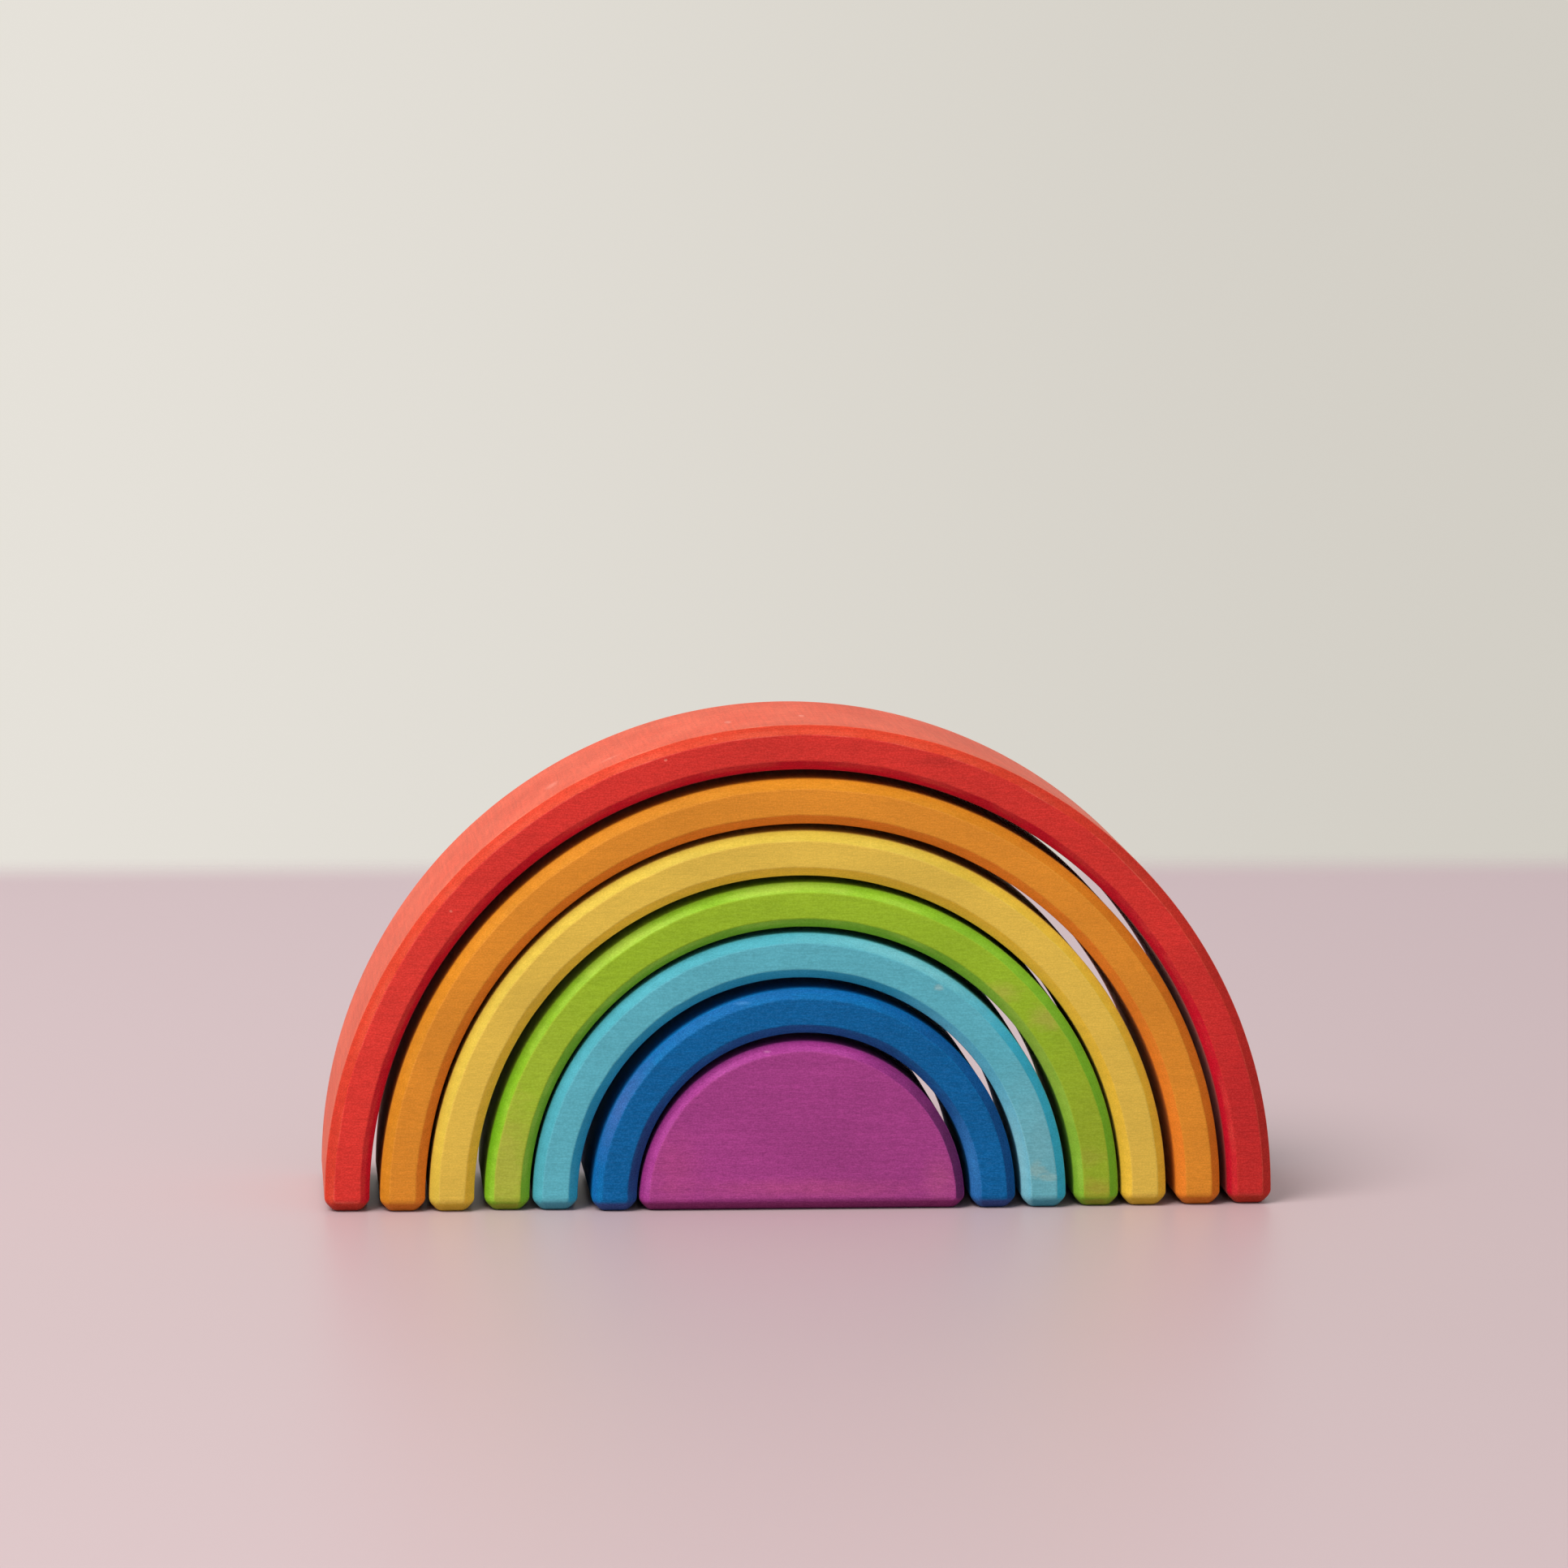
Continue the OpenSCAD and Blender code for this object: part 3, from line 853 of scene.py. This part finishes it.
class STACKER_OT_block(bpy.types.Operator):
    """Build the half-round block in the middle"""

    bl_idname = "stacker.block"
    bl_label = "Half-round block"

    def execute(self, context):
        shape = context.scene.stacker_shape
        place = Place(BLOCK, shape)
        half = place.depth / 2
        bm = bmesh.new()
        rim = ((place.radius, -half), (place.radius, half))
        feet = spin_half_round(bm, place, rim, shape)
        bmesh.ops.contextual_create(bm, geom=[edge for foot in feet for edge in foot])
        bmesh.ops.holes_fill(bm, edges=bm.edges, sides=0)
        finish_piece(context, bm, BLOCK, place)
        return {"FINISHED"}


# Stage

# Sideways part of a direction, over which the wall goes from its bright colour to its shade
WALL_RANGE = (-0.06, 0.22)
# Width of the camera's sensor in millimetres
SENSOR_WIDTH = 36


def set_table(scene, stage):
    """Lays the table under the nest."""
    bm = bmesh.new()
    bmesh.ops.create_grid(bm, x_segments=1, y_segments=1, size=TABLE_END * stage.table_reach)
    mesh = bpy.data.meshes.new("table")
    bm.to_mesh(mesh)
    bm.free()
    table = bpy.data.objects.new("table", mesh)
    table.data.materials.append(painted_table(stage))
    scene.collection.objects.link(table)


def set_lamp(scene, stage):
    """Hangs one large soft lamp to the left in front of the nest."""
    light = bpy.data.lights.new("window", "AREA")
    light.shape = "DISK"
    light.size = stage.lamp_size
    light.energy = stage.lamp_power
    light.color = stage.lamp_colour
    lamp = bpy.data.objects.new("window", light)
    lamp.location = stage.lamp_place
    lamp.rotation_euler = (Vector(stage.lamp_aim) - lamp.location).to_track_quat("-Z", "Y").to_euler()
    scene.collection.objects.link(lamp)


def set_room(scene, stage):
    """Lights the nest softly from all sides, and shows a plain wall behind it and in reflections."""
    world = bpy.data.worlds.new("room")
    world.use_nodes = True
    tree = world.node_tree
    tree.nodes.clear()
    coords = add(tree, "ShaderNodeTexCoord")
    direction = add(tree, "ShaderNodeSeparateXYZ", {"Vector": coords.outputs["Generated"]})
    side = add(tree, "ShaderNodeMapRange", {
        "Value": direction.outputs["X"], "From Min": WALL_RANGE[0], "From Max": WALL_RANGE[1]},
        interpolation_type="SMOOTHSTEP")
    wall = add(tree, "ShaderNodeMix", {
        "Factor": side, "A": opaque(stage.wall_colour), "B": opaque(stage.wall_shade)}, data_type="RGBA")
    seen = add(tree, "ShaderNodeBackground", {"Color": wall, "Strength": 1.0})
    light = add(tree, "ShaderNodeBackground", {
        "Color": opaque(stage.room_colour), "Strength": stage.room_light})
    path = add(tree, "ShaderNodeLightPath")
    mirrored = add(tree, "ShaderNodeMath", {
        0: path.outputs["Is Glossy Ray"], 1: path.outputs["Is Transmission Ray"]}, operation="MAXIMUM")
    shown = add(tree, "ShaderNodeMath", {
        0: path.outputs["Is Camera Ray"], 1: mirrored}, operation="MAXIMUM")
    room = add(tree, "ShaderNodeMixShader", {0: shown, 1: light, 2: seen})
    add(tree, "ShaderNodeOutputWorld", {"Surface": room})
    scene.world = world


def set_camera(scene, stage):
    """Stands the camera in front of the nest, a little to the left and above."""
    lens = bpy.data.cameras.new("camera")
    lens.lens = stage.camera_lens
    lens.sensor_width = SENSOR_WIDTH
    lens.sensor_fit = "HORIZONTAL"
    camera = bpy.data.objects.new("camera", lens)
    level = stage.camera_distance * math.cos(stage.camera_elevation)
    away = Vector((
        level * math.sin(stage.camera_azimuth), -level * math.cos(stage.camera_azimuth),
        stage.camera_distance * math.sin(stage.camera_elevation)))
    camera.location = Vector(stage.camera_aim) + away
    roll = Quaternion((0, 0, 1), stage.camera_roll)
    camera.rotation_euler = ((-away).to_track_quat("-Z", "Y") @ roll).to_euler()
    scene.collection.objects.link(camera)
    scene.camera = camera


class STACKER_OT_stage(bpy.types.Operator):
    """Set the table, the lights and the camera"""

    bl_idname = "stacker.stage"
    bl_label = "Stage"

    def execute(self, context):
        scene = context.scene
        for set_part in (set_table, set_lamp, set_room, set_camera):
            set_part(scene, scene.stacker_stage)
        scene.view_settings.view_transform = "Standard"
        return {"FINISHED"}


# Panel and registration

class STACKER_PT_panel(bpy.types.Panel):
    """Lists the stacker's sizes, colours and operators"""

    bl_idname = "STACKER_PT_panel"
    bl_label = "Rainbow Stacker"
    bl_space_type = "VIEW_3D"
    bl_region_type = "UI"
    bl_category = "Stacker"

    def draw(self, context):
        scene = context.scene
        for settings in (scene.stacker_shape, scene.stacker_stains, scene.stacker_stage):
            box = self.layout.box()
            for name in settings.__annotations__:
                box.prop(settings, name)
        for operator in (STACKER_OT_arches, STACKER_OT_block, STACKER_OT_stage):
            self.layout.operator(operator.bl_idname)


CLASSES = (
    StackerShape, StackerStains, StackerStage, STACKER_OT_arches, STACKER_OT_block, STACKER_OT_stage,
    STACKER_PT_panel)


def register():
    for cls in CLASSES:
        bpy.utils.register_class(cls)
    bpy.types.Scene.stacker_shape = bpy.props.PointerProperty(type=StackerShape)
    bpy.types.Scene.stacker_stains = bpy.props.PointerProperty(type=StackerStains)
    bpy.types.Scene.stacker_stage = bpy.props.PointerProperty(type=StackerStage)


def unregister():
    del bpy.types.Scene.stacker_stage
    del bpy.types.Scene.stacker_stains
    del bpy.types.Scene.stacker_shape
    for cls in reversed(CLASSES):
        bpy.utils.unregister_class(cls)


def main():
    register()
    bpy.ops.stacker.stage()
    bpy.ops.stacker.arches()
    bpy.ops.stacker.block()


if __name__ == "__main__":
    main()
